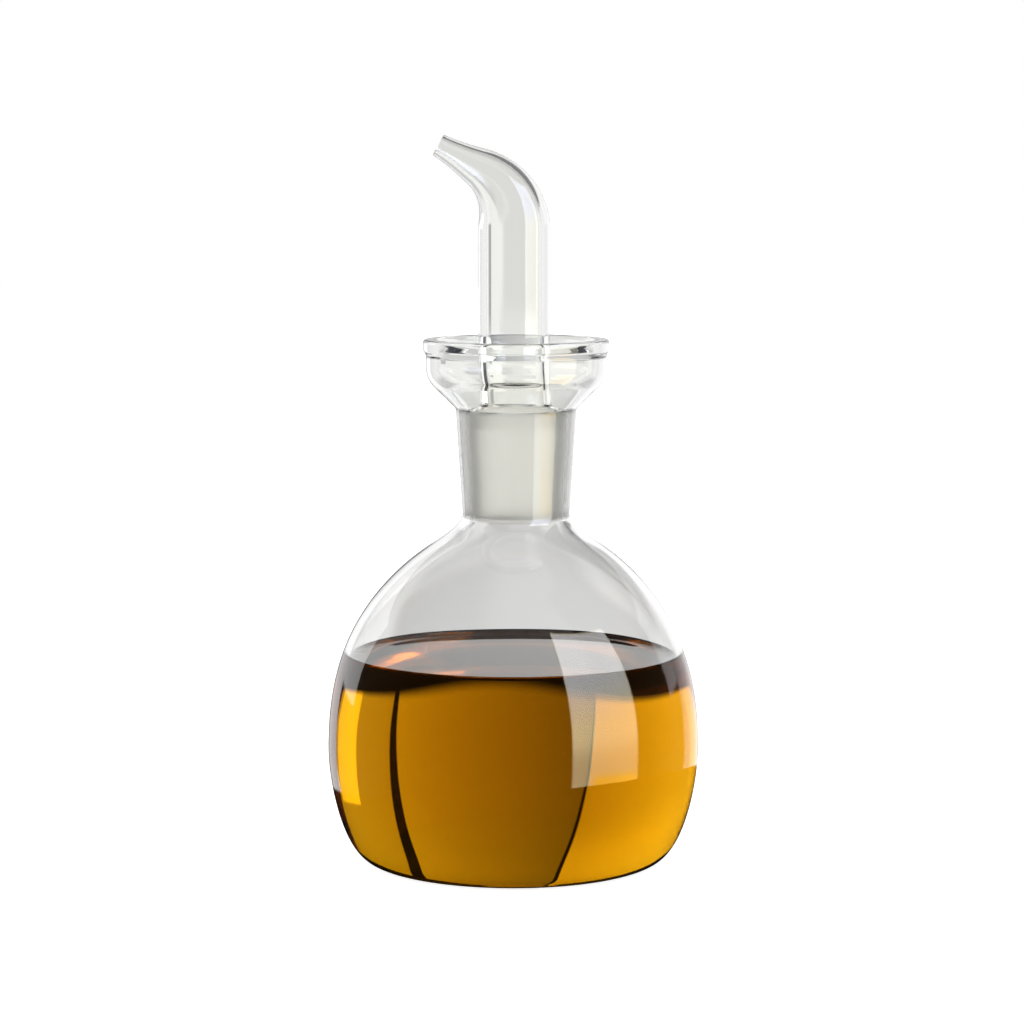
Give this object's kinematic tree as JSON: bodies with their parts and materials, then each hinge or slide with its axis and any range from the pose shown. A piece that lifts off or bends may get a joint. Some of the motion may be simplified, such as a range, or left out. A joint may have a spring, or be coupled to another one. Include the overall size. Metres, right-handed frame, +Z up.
{
  "type": "oil cruet",
  "caption": "Round glass cruet, part filled with golden oil, with a drip cup round its mouth and a ground glass stopper whose tube bends into a pouring spout.",
  "frame": {"origin": "on the table, at the axis of the flask", "axes": "+Z up along the axis of the flask and its neck; the spout bends and points towards -X"},
  "size_m": [0.107, 0.107, 0.2088],
  "materials": {
    "clear_glass": "polished, colourless, with a ground band inside the neck",
    "ground_glass": "polished tube over a finely ground plug",
    "golden_oil": "clear golden liquid"
  },
  "bodies": {
    "root": {"bulb": "clear_glass", "shoulder": "clear_glass", "neck": "clear_glass", "drip_cup": "clear_glass", "plug": "ground_glass", "tube": "ground_glass", "nozzle": "ground_glass", "oil": "golden_oil"}
  },
  "joints": []
}
